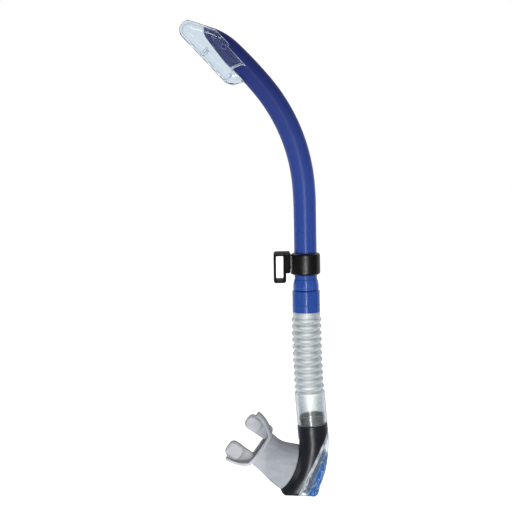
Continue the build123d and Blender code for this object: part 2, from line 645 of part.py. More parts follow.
bands = []
for s, tip_w in ((1, 26.0), (-1, 27.4)):
    mid_w = tip_w - 3.2
    root_w = 15.6 if s > 0 else 16.8
    band = arc_band((-0.6, s * root_w), (8.5, s * mid_w), (20.6, s * tip_w))
    bands.append(extrude(band, amount=FLANGE_HALF_Y, both=True))
web = arc_band((-0.2, 18.0), (-1.6, -0.5), (0.2, -19.0))
bands.append(extrude(web, amount=FLANGE_HALF_Y, both=True))
flange = bands[0] + bands[1] + bands[2]
gum = Plane.YZ * Ellipse(FLANGE_HALF_W, FLANGE_HALF_Y)
flange = flange & (extrude(gum, amount=40, both=True))
tabs = []
for s, shift in ((1, -0.6), (-1, 0.8)):
    tab_w = TAB_OUTER + shift - TAB_INNER
    mid_w = (TAB_OUTER + shift + TAB_INNER) / 2
    plate = Pos(TAB_TIP / 2 - 0.8, s * mid_w) * RectangleRounded(TAB_TIP + 1.6, tab_w, 4.6)
    pad = Pos(TAB_TIP - 8.0, s * (mid_w - 0.6)) * RectangleRounded(16.0, tab_w - 1.2, 5.4)
    tabs.append(extrude(plate, amount=TAB_T / 2, both=True))
    pad_solid = extrude(pad, amount=PAD_T / 2, both=True)
    ends = pad_solid.faces().sort_by(Axis.Z)
    tabs.append(fillet(ends[0].edges() + ends[-1].edges(), 1.8))
airway = loft([
    mouth_section(8.0, -0.6, 14.6, 9.0),
    mouth_section(-12.0, -0.6, 14.8, 9.2),
    mouth_section(-26.0, -0.6, COLLAR_W, COLLAR_Y),
])
seat_void = loft([
    mouth_section(-25.9, -0.6, COLLAR_W + GLUE_GAP, COLLAR_Y + GLUE_GAP),
    mouth_section(-60.0, -0.6, COLLAR_W + GLUE_GAP, COLLAR_Y + GLUE_GAP),
])
airway_front = extrude(mouth_section(-6.0, -0.6, 14.6, 9.0), amount=12.0)
mouth_shell = duct - airway - seat_void
mouth_front = (mouth_plane_yz * flange) - airway_front
mouthpiece = mouth_shell + mouth_front
for tab in tabs:
    mouthpiece = mouthpiece + mouth_plane_yz * tab
mouthpiece = mouthpiece - saddle
mouthpiece = mouthpiece.solids().sort_by(SortBy.VOLUME)[-1]

nodes = {
    "barrel": barrel,
    "hose_connector": connector,
    "splash_guard": guard,
    "keeper_liner": liner,
    "keeper_ring": ring,
    "swivel_rivet": rivet,
    "rivet_washer": washer,
    "strap_loop": loop,
    "hose": hose,
    "housing": housing,
    "mouthpiece": mouthpiece,
    "purge_seat": seat,
    "purge_cover": cover,
    "cover_trim": trim,
    "purge_diaphragm": diaphragm,
}
for name, solid in nodes.items():
    box = solid.bounding_box()
    print(name, "solids", len(solid.solids()), "volume", round(solid.volume),
          [round(v, 1) for v in (*box.min, *box.max)])
    export_step(solid, "parts/" + name + ".step")
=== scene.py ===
import math

import bmesh
import bpy
from mathutils import Matrix, Vector


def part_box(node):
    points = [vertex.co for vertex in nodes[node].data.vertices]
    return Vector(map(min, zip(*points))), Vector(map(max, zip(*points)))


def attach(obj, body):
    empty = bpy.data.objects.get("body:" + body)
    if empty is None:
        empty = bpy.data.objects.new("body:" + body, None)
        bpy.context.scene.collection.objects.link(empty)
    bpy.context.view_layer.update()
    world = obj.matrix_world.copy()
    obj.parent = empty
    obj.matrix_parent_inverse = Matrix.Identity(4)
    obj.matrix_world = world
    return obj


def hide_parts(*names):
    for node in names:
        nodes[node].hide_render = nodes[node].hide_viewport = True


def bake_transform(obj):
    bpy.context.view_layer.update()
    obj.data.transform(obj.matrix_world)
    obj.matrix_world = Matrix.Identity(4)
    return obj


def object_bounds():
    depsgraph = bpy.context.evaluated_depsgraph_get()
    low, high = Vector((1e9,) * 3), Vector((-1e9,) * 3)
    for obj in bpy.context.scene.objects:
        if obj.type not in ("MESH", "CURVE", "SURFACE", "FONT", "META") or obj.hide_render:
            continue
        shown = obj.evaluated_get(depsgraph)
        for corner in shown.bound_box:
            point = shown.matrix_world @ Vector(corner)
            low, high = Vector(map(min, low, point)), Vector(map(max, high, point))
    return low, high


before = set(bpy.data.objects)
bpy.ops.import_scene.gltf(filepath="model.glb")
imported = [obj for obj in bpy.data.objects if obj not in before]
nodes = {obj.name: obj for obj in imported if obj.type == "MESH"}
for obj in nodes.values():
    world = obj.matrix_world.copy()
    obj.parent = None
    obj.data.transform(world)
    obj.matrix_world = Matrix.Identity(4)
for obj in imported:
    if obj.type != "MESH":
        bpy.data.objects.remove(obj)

MM = 0.001
cad_lo, cad_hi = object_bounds()

# ------------------------------------------------------------------ camera
CAMERA_AT = Vector((-20.3, -895.1, 105.3)) * MM
CAMERA_AIM = Vector((-22.3, 0.0, 11.2)) * MM
CAMERA_ROLL_UP = Vector((0.0209, 0.0, 0.9998))
CAMERA_LENS = 66.6
SENSOR_WIDTH = 36.0

cam_data = bpy.data.cameras.new("camera")
cam_data.lens = CAMERA_LENS
cam_data.sensor_width = SENSOR_WIDTH
cam_data.clip_start = 0.01
cam_data.clip_end = 50.0
cam = bpy.data.objects.new("camera", cam_data)
bpy.context.scene.collection.objects.link(cam)
back = (CAMERA_AT - CAMERA_AIM).normalized()
right = CAMERA_ROLL_UP.cross(back).normalized()
up = back.cross(right)
cam.matrix_world = Matrix.Translation(CAMERA_AT) @ Matrix((right, up, back)).transposed().to_4x4()
bpy.context.scene.camera = cam

# ------------------------------------------------------------------ studio
FLOOR_DROP = 0.19  # metres between the object's lowest point and the floor
FLOOR_HALF = 12.0
FLOOR_Z = cad_lo.z - FLOOR_DROP
WHITE = (1.0, 1.0, 1.0, 1.0)


def area_light(name, at, aim, width, height, power, glossy=True):
    """Rectangular light; the soft ones are kept out of reflections."""
    data = bpy.data.lights.new(name, "AREA")
    data.shape = "RECTANGLE"
    data.size = width
    data.size_y = height
    data.energy = power
    obj = bpy.data.objects.new(name, data)
    bpy.context.scene.collection.objects.link(obj)
    at, aim = Vector(at), Vector(aim)
    turn = (aim - at).to_track_quat("-Z", "Y").to_matrix().to_4x4()
    obj.matrix_world = Matrix.Translation(at) @ turn
    obj.visible_glossy = glossy
    return obj


area_light("strip_front", (0.02, -1.35, 0.25), (0.0, 0.0, 0.0), 0.11, 1.5, 6.0)
area_light("soft_left", (-1.3, -0.9, 0.7), (0.0, 0.0, 0.05), 0.9, 1.2, 4.4, glossy=False)
area_light("soft_right", (1.4, -0.6, 0.6), (0.0, 0.0, 0.0), 0.7, 1.2, 3.4, glossy=False)
area_light("soft_top", (0.0, -0.2, 1.5), (0.0, 0.0, 0.0), 1.2, 0.9, 3.6, glossy=False)
low_card = area_light("card_low", (-0.10, -0.62, -0.30), (0.03, 0.0, -0.19), 0.10, 0.20, 1.1)
low_card.visible_camera = False

# The world is dark in front of the object (-Y) and pale behind it.
WORLD_Y = (-0.1, 0.9)
WORLD_STRENGTH = (0.03, 0.8)

world = bpy.data.worlds.new("studio")
bpy.context.scene.world = world
world.use_nodes = True
wn, wl = world.node_tree.nodes, world.node_tree.links
wn.clear()
w_out = wn.new("ShaderNodeOutputWorld")
w_bg = wn.new("ShaderNodeBackground")
w_bg.inputs["Color"].default_value = WHITE
w_coord = wn.new("ShaderNodeTexCoord")
w_split = wn.new("ShaderNodeSeparateXYZ")
w_span = wn.new("ShaderNodeMapRange")
w_span.interpolation_type = "SMOOTHSTEP"
w_span.inputs["From Min"].default_value, w_span.inputs["From Max"].default_value = WORLD_Y
w_span.inputs["To Min"].default_value, w_span.inputs["To Max"].default_value = WORLD_STRENGTH
wl.new(w_coord.outputs["Generated"], w_split.inputs["Vector"])
wl.new(w_split.outputs["Y"], w_span.inputs["Value"])
wl.new(w_span.outputs["Result"], w_bg.inputs["Strength"])
wl.new(w_bg.outputs[0], w_out.inputs[0])
bpy.context.scene.view_settings.view_transform = "Standard"


# ------------------------------------------------------------------ materials
def material(name, colour, rough, **sockets):
    """Principled material, its uniform values on the shader's own sockets."""
    mat = bpy.data.materials.new(name)
    mat.use_nodes = True
    shader = mat.node_tree.nodes["Principled BSDF"]
    shader.inputs["Base Color"].default_value = (*colour, 1.0)
    shader.inputs["Roughness"].default_value = rough
    for key, value in sockets.items():
        shader.inputs[key.replace("_", " ")].default_value = value
    return mat


def shader_socket(mat, name):
    return mat.node_tree.nodes["Principled BSDF"].inputs[name]


def tex_coords(mat):
    return mat.node_tree.nodes.new("ShaderNodeTexCoord").outputs["Object"]


def noise_node(mat, scale, detail=3.0, rough=0.5, stretch=None):
    tree = mat.node_tree
    node = tree.nodes.new("ShaderNodeTexNoise")
    node.inputs["Scale"].default_value = scale
    node.inputs["Detail"].default_value = detail
    node.inputs["Roughness"].default_value = rough
    source = tex_coords(mat)
    if stretch:
        mapping = tree.nodes.new("ShaderNodeMapping")
        mapping.inputs["Scale"].default_value = stretch
        tree.links.new(source, mapping.inputs["Vector"])
        source = mapping.outputs["Vector"]
    tree.links.new(source, node.inputs["Vector"])
    return node


BUMP_DISTANCE = 0.0002


def add_bump(mat, parts):
    """Bump made of one or more (noise, strength) layers."""
    tree = mat.node_tree
    previous = None
    for node, strength in parts:
        bump = tree.nodes.new("ShaderNodeBump")
        bump.inputs["Strength"].default_value = strength
        bump.inputs["Distance"].default_value = BUMP_DISTANCE
        tree.links.new(node.outputs["Fac"], bump.inputs["Height"])
        if previous:
            tree.links.new(previous.outputs["Normal"], bump.inputs["Normal"])
        previous = bump
    tree.links.new(previous.outputs["Normal"], shader_socket(mat, "Normal"))


def map_range(mat, source, from_low=0.0, from_high=1.0, to_low=0.0, to_high=1.0, smooth=False):
    tree = mat.node_tree
    span = tree.nodes.new("ShaderNodeMapRange")
    if smooth:
        span.interpolation_type = "SMOOTHSTEP"
    for key, value in (
        ("From Min", from_low), ("From Max", from_high), ("To Min", to_low), ("To Max", to_high),
    ):
        span.inputs[key].default_value = value
    tree.links.new(source, span.inputs["Value"])
    return span.outputs["Result"]


NOISE_LOW, NOISE_HIGH = 0.3, 0.7  # most of a noise texture's values lie between these


def vary_rough(mat, node, low, high):
    span = map_range(mat, node.outputs["Fac"], NOISE_LOW, NOISE_HIGH, low, high)
    mat.node_tree.links.new(span, shader_socket(mat, "Roughness"))


def colour_ramp(mat, source, stops):
    """Colour read from a 0 to 1 source through a ramp of (place, colour) stops."""
    tree = mat.node_tree
    ramp = tree.nodes.new("ShaderNodeValToRGB")
    ends = ramp.color_ramp.elements
    for element, (place, colour) in ((ends[0], stops[0]), (ends[1], stops[-1])):
        element.position = place
        element.color = (*colour, 1.0)
    for place, colour in stops[1:-1]:
        ends.new(place).color = (*colour, 1.0)
    tree.links.new(source, ramp.inputs["Fac"])
    return ramp.outputs["Color"]


def vary_colour(mat, source, stops):
    colour = colour_ramp(mat, source, stops)
    mat.node_tree.links.new(colour, shader_socket(mat, "Base Color"))
    return colour


def mix_colours(mat, factor, first, second, blend="MIX"):
    """Mix of two colours, each a socket or a value, by a factor that is either too."""
    tree = mat.node_tree
    mix = tree.nodes.new("ShaderNodeMixRGB")
    mix.blend_type = blend
    for key, value in (("Fac", factor), ("Color1", first), ("Color2", second)):
        if isinstance(value, bpy.types.NodeSocket):
            tree.links.new(value, mix.inputs[key])
        else:
            mix.inputs[key].default_value = value
    return mix.outputs["Color"]


def facing_weight(mat):
    """0 where the surface faces the viewer and 1 at the outline."""
    weight = mat.node_tree.nodes.new("ShaderNodeLayerWeight")
    weight.inputs["Blend"].default_value = 0.5
    return weight.outputs["Facing"]


def split_coords(mat):
    tree = mat.node_tree
    split = tree.nodes.new("ShaderNodeSeparateXYZ")
    tree.links.new(tex_coords(mat), split.inputs["Vector"])
    return split.outputs


def add_noise(mat, source, noise, amount):
    """A 0 to 1 source with noise times an amount added to it."""
    tree = mat.node_tree
    mix = tree.nodes.new("ShaderNodeMath")
    mix.operation = "MULTIPLY_ADD"
    mix.inputs[1].default_value = amount
    tree.links.new(noise.outputs["Fac"], mix.inputs[0])
    tree.links.new(source, mix.inputs[2])
    return mix.outputs["Value"]


def height_source(mat, low, high, wobble=0.0):
    """0 at one height and 1 at another, in metres, with a little noise."""
    height = map_range(mat, split_coords(mat)["Z"], low, high)
    return add_noise(mat, height, noise_node(mat, 60.0), wobble) if wobble else height


def paint_outline_shade(mat, facing, grazing, middle):
    """Base colour that runs from one value face on to another at the outline; a darker outline value paints
    shade there.
    """
    stops = [(0.0, facing), (middle, facing), (1.0, grazing)]
    return vary_colour(mat, facing_weight(mat), stops)


def vary_socket(mat, socket, source, at_zero, at_one):
    span = map_range(mat, source, to_low=at_zero, to_high=at_one)
    mat.node_tree.links.new(span, shader_socket(mat, socket))


barrel_mat = material("barrel_blue", (0.02, 0.06, 0.34), 0.3, Specular_IOR_Level=0.4, Coat_Weight=0.08)
vary_colour(barrel_mat, height_source(barrel_mat, -0.02, 0.24, 0.05), [
    (0.0, (0.020, 0.060, 0.290)),
    (0.45, (0.018, 0.046, 0.240)),
    (0.8, (0.016, 0.026, 0.145)),
    (1.0, (0.013, 0.020, 0.115)),
])
vary_socket(barrel_mat, "Roughness", height_source(barrel_mat, 0.03, 0.15, 0.2), 0.24, 0.50)
vary_socket(barrel_mat, "Specular IOR Level", height_source(barrel_mat, 0.06, 0.18), 0.42, 0.10)
add_bump(barrel_mat, [(noise_node(barrel_mat, 900.0), 0.05), (noise_node(barrel_mat, 40.0), 0.08)])

connector_mat = material("connector_blue", (0.022, 0.092, 0.42), 0.25, Coat_Weight=0.3)
vary_colour(connector_mat, noise_node(connector_mat, 90.0).outputs["Fac"], [
    (0.35, (0.017, 0.062, 0.29)), (0.65, (0.022, 0.078, 0.35)),
])
add_bump(connector_mat, [(noise_node(connector_mat, 700.0), 0.05)])

keeper_mat = material("keeper_black", (0.003, 0.003, 0.0035), 0.3, Specular_IOR_Level=1.0)
vary_rough(keeper_mat, noise_node(keeper_mat, 160.0, 3.0), 0.31, 0.38)
add_bump(keeper_mat, [(noise_node(keeper_mat, 1400.0), 0.03), (noise_node(keeper_mat, 90.0, 1.0), 0.03)])

loop_mat = material("loop_black", (0.0025, 0.0025, 0.003), 0.3, Specular_IOR_Level=0.22)
vary_rough(loop_mat, noise_node(loop_mat, 200.0, 4.0), 0.22, 0.40)
add_bump(loop_mat, [(noise_node(loop_mat, 1100.0), 0.06), (noise_node(loop_mat, 150.0), 0.05)])

liner_mat = material("liner_rubber", (0.02, 0.02, 0.021), 0.7)
add_bump(liner_mat, [(noise_node(liner_mat, 1200.0), 0.3)])

steel_mat = material("washer_steel", (0.55, 0.56, 0.58), 0.3, Metallic=1.0)
add_bump(steel_mat, [(noise_node(steel_mat, 2500.0, stretch=(1, 6, 6)), 0.15)])

housing_mat = material("housing_charcoal", (0.011, 0.012, 0.017), 0.32)
vary_colour(housing_mat, noise_node(housing_mat, 70.0, 4.0).outputs["Fac"], [
    (0.3, (0.008, 0.010, 0.0145)), (0.7, (0.014, 0.016, 0.022)),
])
vary_rough(housing_mat, noise_node(housing_mat, 110.0, 4.0), 0.26, 0.36)
add_bump(housing_mat, [(noise_node(housing_mat, 1500.0, 2.0), 0.16), (noise_node(housing_mat, 60.0), 0.06)])

clear_mat = material(
    "guard_clear", (0.90, 0.95, 0.99), 0.04, IOR=1.30, Transmission_Weight=0.985,
)
# Painted shade: the clear guard's colour darkens from face on towards its outlines.
paint_outline_shade(clear_mat, (0.80, 0.86, 0.91), (0.30, 0.35, 0.42), 0.40)
add_bump(clear_mat, [(noise_node(clear_mat, 90.0, stretch=(1.0, 1.0, 0.3)), 0.30)])

cover_mat = material("cover_clear", (0.88, 0.93, 0.97), 0.06, IOR=1.46, Transmission_Weight=0.95)
# Painted shade: the clear cover's colour darkens from face on towards its outlines; the print is laid over
# it.
cover_tint_and_outline_shade = paint_outline_shade(cover_mat, (0.78, 0.85, 0.91), (0.30, 0.36, 0.44), 0.45)


PRINT_BLUE = (0.022, 0.11, 0.36, 1.0)
PRINT_CORNER_X, PRINT_CORNER_Z = 0.0328, -0.1845  # the point that the blue area is measured from
PRINT_NORMAL_X, PRINT_NORMAL_Z = 0.916, -0.40     # outward across the cover's slanted outer edge
PRINT_STARTS = (0.0045, 0.0060)                   # metres from that point, along the normal
PRINT_DROPS = (0.178, 0.184)                      # metres below the origin
PRINT_DRIFT = 0.007
FLECK_LIMITS = (0.36, 0.46)


def cover_print(mat):
    """1 on the blue area along the cover's outer edge, broken up by pale flecks, else 0."""
    tree = mat.node_tree
    place = split_coords(mat)

    def math_node(kind, first, second):
        node = tree.nodes.new("ShaderNodeMath")
        node.operation = kind
        for socket, value in zip(node.inputs, (first, second)):
            if isinstance(value, float):
                socket.default_value = value
            else:
                tree.links.new(value, socket)
        return node.outputs["Value"]

    from_corner_x = math_node("SUBTRACT", place["X"], PRINT_CORNER_X)
    from_corner_z = math_node("SUBTRACT", place["Z"], PRINT_CORNER_Z)
    depth = math_node(
        "ADD",
        math_node("MULTIPLY", from_corner_x, PRINT_NORMAL_X),
        math_node("MULTIPLY", from_corner_z, PRINT_NORMAL_Z),
    )
    flecks = noise_node(mat, 240.0, 4.0, 0.6, stretch=(1.0, 0.4, 0.5)).outputs["Fac"]
    drift = math_node("MULTIPLY", math_node("SUBTRACT", flecks, 0.5), PRINT_DRIFT)
    band = map_range(mat, math_node("ADD", depth, drift), *PRINT_STARTS, smooth=True)
    below = math_node("MULTIPLY", math_node("ADD", place["Z"], drift), -1.0)
    low_half = map_range(mat, below, *PRINT_DROPS, smooth=True)
    solid = map_range(mat, flecks, *FLECK_LIMITS, smooth=True)
    return math_node("MULTIPLY", math_node("MULTIPLY", band, low_half), solid)


printed = cover_print(cover_mat)
cover_colour = mix_colours(cover_mat, printed, cover_tint_and_outline_shade, PRINT_BLUE)
cover_mat.node_tree.links.new(cover_colour, shader_socket(cover_mat, "Base Color"))
vary_socket(cover_mat, "Transmission Weight", printed, 0.95, 0.05)
add_bump(cover_mat, [(noise_node(cover_mat, 60.0), 0.10)])

hose_mat = material(
    "hose_silicone", (0.80, 0.85, 0.83), 0.18, IOR=1.40, Transmission_Weight=0.72, Coat_Weight=0.5,
    Coat_Roughness=0.18,
)
HOSE_CUFF_BLUE = (0.020, 0.068, 0.31, 1.0)
CUFF_BLUE_Z = (-0.0436, -0.0428)
CLARITY_Z = (-0.16, -0.02)
# Painted light and shade: the hose's grey-green colour is palest where it faces the viewer, a painted
# highlight down the middle of each rib, darkest a little way out, painted shade, and lighter again towards
# the outline, a painted edge highlight.
hose_tint_and_painted_sheen = colour_ramp(hose_mat, facing_weight(hose_mat), [
    (0.0, (0.95, 0.96, 0.95)), (0.04, (0.86, 0.885, 0.88)), (0.13, (0.62, 0.665, 0.675)),
    (0.25, (0.50, 0.56, 0.585)), (0.50, (0.74, 0.80, 0.83)), (1.0, (0.62, 0.68, 0.715)),
])
# The cuff takes the colour of the connector's spigot, which is inside it.
cuff = height_source(hose_mat, *CUFF_BLUE_Z)
hose_mat.node_tree.links.new(
    mix_colours(hose_mat, cuff, hose_tint_and_painted_sheen, HOSE_CUFF_BLUE), shader_socket(hose_mat, "Base Color"),
)
# Clear at the smooth lower run, cloudier over the ribs, nearly solid at the cuff.
clarity = colour_ramp(hose_mat, height_source(hose_mat, *CLARITY_Z), [
    (place, (value,) * 3)
    for place, value in ((0.0, 0.96), (0.246, 0.96), (0.275, 0.55), (0.831, 0.62), (0.837, 0.10))
])
hose_mat.node_tree.links.new(clarity, shader_socket(hose_mat, "Transmission Weight"))
vary_rough(hose_mat, noise_node(hose_mat, 120.0, 4.0), 0.14, 0.24)
add_bump(hose_mat, [(noise_node(hose_mat, 160.0, 2.0), 0.05), (noise_node(hose_mat, 900.0), 0.03)])

mouth_mat = material(
    "mouthpiece_silicone", (0.36, 0.38, 0.42), 0.42, IOR=1.40, Subsurface_Weight=0.6,
    Subsurface_Scale=0.005, Subsurface_Radius=(1.0, 1.0, 1.0),
)
MOUTH_DARK_X, MOUTH_PALE_X = -0.016, -0.034
across = map_range(mouth_mat, split_coords(mouth_mat)["X"], MOUTH_DARK_X, MOUTH_PALE_X)
mouth_base = colour_ramp(mouth_mat, add_noise(mouth_mat, across, noise_node(mouth_mat, 55.0, 4.0), 0.45), [
    (0.12, (0.29, 0.31, 0.345)), (0.34, (0.36, 0.38, 0.415)), (1.0, (0.45, 0.46, 0.485)),
])
# Painted shade: the mouthpiece's colour is multiplied darker towards its outlines.
outline = colour_ramp(mouth_mat, facing_weight(mouth_mat), [
    (0.45, (1.0, 1.0, 1.0)), (1.0, (0.55, 0.57, 0.60)),
])
fine_noise = noise_node(mouth_mat, 420.0, 3.0, 0.6, stretch=(0.12, 1.0, 0.35))
fine = colour_ramp(mouth_mat, fine_noise.outputs["Fac"], [
    (0.36, (0.86, 0.865, 0.88)), (0.62, (1.0, 1.0, 1.0)),
])
for layer in (outline, fine):
    mouth_base = mix_colours(mouth_mat, 1.0, mouth_base, layer, "MULTIPLY")
mouth_mat.node_tree.links.new(mouth_base, shader_socket(mouth_mat, "Base Color"))
vary_rough(mouth_mat, noise_node(mouth_mat, 150.0, 4.0), 0.36, 0.50)
add_bump(mouth_mat, [(noise_node(mouth_mat, 1100.0), 0.14), (noise_node(mouth_mat, 90.0), 0.12)])

seat_mat = material("seat_pale", (0.50, 0.55, 0.60), 0.3, Transmission_Weight=0.25)
vary_colour(seat_mat, noise_node(seat_mat, 260.0, 4.0, stretch=(1, 1, 0.4)).outputs["Fac"], [
    (0.40, (0.22, 0.25, 0.29)), (0.62, (0.66, 0.72, 0.78)),
])
add_bump(seat_mat, [(noise_node(seat_mat, 500.0), 0.08)])

disc_mat = material("diaphragm_silicone", (0.74, 0.78, 0.80), 0.4, Transmission_Weight=0.3)
add_bump(disc_mat, [(noise_node(disc_mat, 400.0), 0.15)])

trim_mat = material("trim_blue", (0.022, 0.10, 0.45), 0.2, Coat_Weight=0.4)
vary_colour(trim_mat, noise_node(trim_mat, 120.0).outputs["Fac"], [
    (0.3, (0.018, 0.085, 0.40)), (0.7, (0.028, 0.12, 0.50)),
])
add_bump(trim_mat, [(noise_node(trim_mat, 800.0), 0.05)])

CAD_FINISH = {
    "barrel": barrel_mat,
    "hose_connector": connector_mat,
    "splash_guard": clear_mat,
    "keeper_liner": liner_mat,
    "keeper_ring": keeper_mat,
    "swivel_rivet": keeper_mat,
    "rivet_washer": steel_mat,
    "strap_loop": loop_mat,
    "housing": housing_mat,
    "purge_seat": seat_mat,
    "purge_cover": cover_mat,
    "cover_trim": trim_mat,
    "purge_diaphragm": disc_mat,
}
for name, mat in CAD_FINISH.items():
    obj = nodes[name]
    if not obj.material_slots:
        obj.data.materials.append(mat)
    for slot in obj.material_slots:
        slot.material = mat


# ------------------------------------------------------------------ helpers
def finish_mesh(mesh, mat):
    """One material and smooth shading."""
    mesh.materials.clear()
    mesh.materials.append(mat)
    for poly in mesh.polygons:
        poly.use_smooth = True


def new_object(name, mesh, mat):
    obj = bpy.data.objects.new(name, mesh)
    bpy.context.scene.collection.objects.link(obj)
    finish_mesh(mesh, mat)
    return obj


def turn_outward(mesh):
    """Every face of a closed mesh made to face out of it."""
    shell = bmesh.new()
    shell.from_mesh(mesh)
    bmesh.ops.recalc_face_normals(shell, faces=shell.faces)
    shell.to_mesh(mesh)
    shell.free()


# ------------------------------------------------------------------ hose
# In mm. A place on the straight cuff is a height above RING_Z, and one on the rest of the hose is a
# run, the distance along its arc from HOSE_TURN.
BARREL_X = 24.7
RING_Z = 1.8
HOSE_TOP = -24.1
HOSE_TURN = -50.0
HOSE_ARC_R = 1280.0
HOSE_END = 104.2
CUFF_BEAD = -38.5
CUFF_SEAT = -45.5
RIBS = 11
RIB_PITCH = 6.5
FIRST_RIB = 2.6
RIBBED_END = FIRST_RIB + (RIBS - 0.5) * RIB_PITCH
SEGMENTS = 112

CUFF_RADIUS = 13.2
CUFF_LIP_RADIUS = 13.25
CUFF_BORE = 11.3  # a little more than the spigot, so the two surfaces don't coincide
TURN_RADIUS = 12.9
VALLEY_RADIUS = 12.55
RIB_RISE = 1.9
FOOT_RADIUS = 14.7
HOSE_BORE = 9.75
BORE_RISE = 1.35
FOOT_BORE = 12.1
STEP = 0.4


def hose_frame(place, straight):
    """Centre and up direction on the hose's centreline, in mm, row frame."""
    if straight:
        return Vector((BARREL_X, 0, RING_Z + place)), Vector((0, 0, 1))
    a = place / HOSE_ARC_R
    x = HOSE_ARC_R * (1 - math.cos(a))
    z = HOSE_TURN - HOSE_ARC_R * math.sin(a)
    return Vector((BARREL_X + x, 0, RING_Z + z)), Vector((-math.sin(a), 0, math.cos(a)))


def rib_swell(run):
    """0 in a valley and 1 on a rib's crest, with round crests and tighter valleys."""
    phase = (run - FIRST_RIB) / RIB_PITCH
    if phase < -0.5 or phase > RIBS - 0.5:
        return 0.0
    c = 0.5 + 0.5 * math.cos(2 * math.pi * phase)
    return c ** 0.62


def flare(run, length, low, high):
    """Smooth widening that starts where the ribs end."""
    t = min(1.0, (run - RIBBED_END) / length)
    return low + (high - low) * t * t * (3 - 2 * t)


def outer_radius(run):
    if run < RIBBED_END:
        return VALLEY_RADIUS + RIB_RISE * rib_swell(run)
    return flare(run, 2.2, VALLEY_RADIUS, FOOT_RADIUS)


def inner_radius(run):
    if run < STEP:
        return HOSE_BORE
    if run < RIBBED_END:
        return HOSE_BORE + BORE_RISE * rib_swell(run)
    return flare(run, 3.0, HOSE_BORE, FOOT_BORE)


# Rows of (place, straight, radius): over the lip, down the outside, then up the bore.
profile = [
    (HOSE_TOP - 1.0, True, CUFF_BORE),
    (HOSE_TOP - 0.3, True, CUFF_BORE + 0.1),
    (HOSE_TOP, True, CUFF_BORE + 0.3),
    (HOSE_TOP, True, 12.5),
    (HOSE_TOP - 0.35, True, 13.05),
    (HOSE_TOP - 1.0, True, CUFF_LIP_RADIUS),
]
CUFF_ROWS = 60
for k in range(1, CUFF_ROWS + 1):
    z = HOSE_TOP - 1.0 - k * (abs(HOSE_TURN - HOSE_TOP) - 1.6) / CUFF_ROWS
    swell = 0.28 * math.exp(-((z - CUFF_BEAD) / 0.5) ** 2)
    profile.append((z, True, CUFF_RADIUS + swell))
run = 0.0
while run < HOSE_END - 0.6:
    profile.append((run, False, outer_radius(run) if run > 0.2 else TURN_RADIUS))
    run += STEP
profile += [
    (HOSE_END - 0.45, False, FOOT_RADIUS),
    (HOSE_END - 0.12, False, 14.52),
    (HOSE_END, False, 14.1),
    (HOSE_END, False, 12.5),
    (HOSE_END - 0.3, False, 12.12),
]
run = HOSE_END - 0.8
while run > 0.2:
    profile.append((run, False, inner_radius(run)))
    run -= STEP
profile += [
    (CUFF_SEAT - 0.2, True, HOSE_BORE),
    (CUFF_SEAT, True, 10.2),
    (CUFF_SEAT, True, CUFF_BORE),
]
profile += [(CUFF_SEAT + k * 2.7, True, CUFF_BORE) for k in range(1, 8)]

verts, faces = [], []
for place, straight, radius in profile:
    centre, axis = hose_frame(place, straight)
    side = Vector((0, 1, 0)).cross(axis).normalized()
    for s in range(SEGMENTS):
        a = 2 * math.pi * s / SEGMENTS
        point = centre + side * (radius * math.cos(a)) + Vector((0, 1, 0)) * (radius * math.sin(a))
        verts.append(point * MM)
rows = len(profile)
for r in range(rows):
    r2 = (r + 1) % rows
    for s in range(SEGMENTS):
        s2 = (s + 1) % SEGMENTS
        faces.append((r * SEGMENTS + s, r * SEGMENTS + s2, r2 * SEGMENTS + s2, r2 * SEGMENTS + s))
hose_mesh = bpy.data.meshes.new("hose_ribbed")
hose_mesh.from_pydata(verts, [], faces)
hose_mesh.update()
hose = new_object("hose_ribbed", hose_mesh, hose_mat)
turn_outward(hose_mesh)
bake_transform(hose)
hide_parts("hose")


# ------------------------------------------------------------------ mouthpiece
def remeshed_copy(node, name, voxel, rounds, mat):
    """Soft copy of a CAD solid: remeshed finely, then relaxed so every edge rolls over."""
    mesh = nodes[node].data.copy()
    mesh.name = name
    obj = new_object(name, mesh, mat)
    remesh = obj.modifiers.new("remesh", "REMESH")
    remesh.mode = "VOXEL"
    remesh.voxel_size = voxel
    relax = obj.modifiers.new("relax", "SMOOTH")
    relax.factor = 0.5
    relax.iterations = rounds
    bpy.context.view_layer.update()
    graph = bpy.context.evaluated_depsgraph_get()
    made = bpy.data.meshes.new_from_object(obj.evaluated_get(graph))
    obj.modifiers.clear()
    obj.data = made
    finish_mesh(made, mat)
    return obj


mouth = remeshed_copy("mouthpiece", "mouthpiece_soft", 0.0007, 9, mouth_mat)
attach(mouth, "mouth_unit")
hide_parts("mouthpiece")

liner = remeshed_copy("keeper_liner", "keeper_liner_soft", 0.0004, 3, liner_mat)
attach(liner, "keeper")
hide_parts("keeper_liner")

disc = remeshed_copy("purge_diaphragm", "purge_diaphragm_soft", 0.00025, 3, disc_mat)
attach(disc, "diaphragm")
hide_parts("purge_diaphragm")

# ------------------------------------------------------------------ painted edge highlights
BEAD_SIDES = 6
LEAST_ANGLE = 0.7  # radians between two faces at an edge that gets a bead


def sharp_chains(shell):
    """Runs of sharp edges as (points, closed), each as long as it can be."""
    links = {}
    for edge in shell.edges:
        if len(edge.link_faces) == 2 and edge.calc_face_angle() > LEAST_ANGLE:
            for vert in edge.verts:
                links.setdefault(vert.index, []).append(edge)
    used, chains = set(), []
    shell.verts.ensure_lookup_table()
    ends = [i for i in sorted(links) if len(links[i]) != 2]
    for start in ends + sorted(links):
        for edge in links[start]:
            if edge.index in used:
                continue
            here, run = shell.verts[start], [start]
            while edge is not None:
                used.add(edge.index)
                here = edge.other_vert(here)
                run.append(here.index)
                onward = [e for e in links[here.index] if e.index not in used]
                edge = onward[0] if len(links[here.index]) == 2 and onward else None
            closed = run[0] == run[-1] and len(run) > 3
            points = [shell.verts[i].co.copy() for i in (run[:-1] if closed else run)]
            chains.append((points, closed))
    return chains


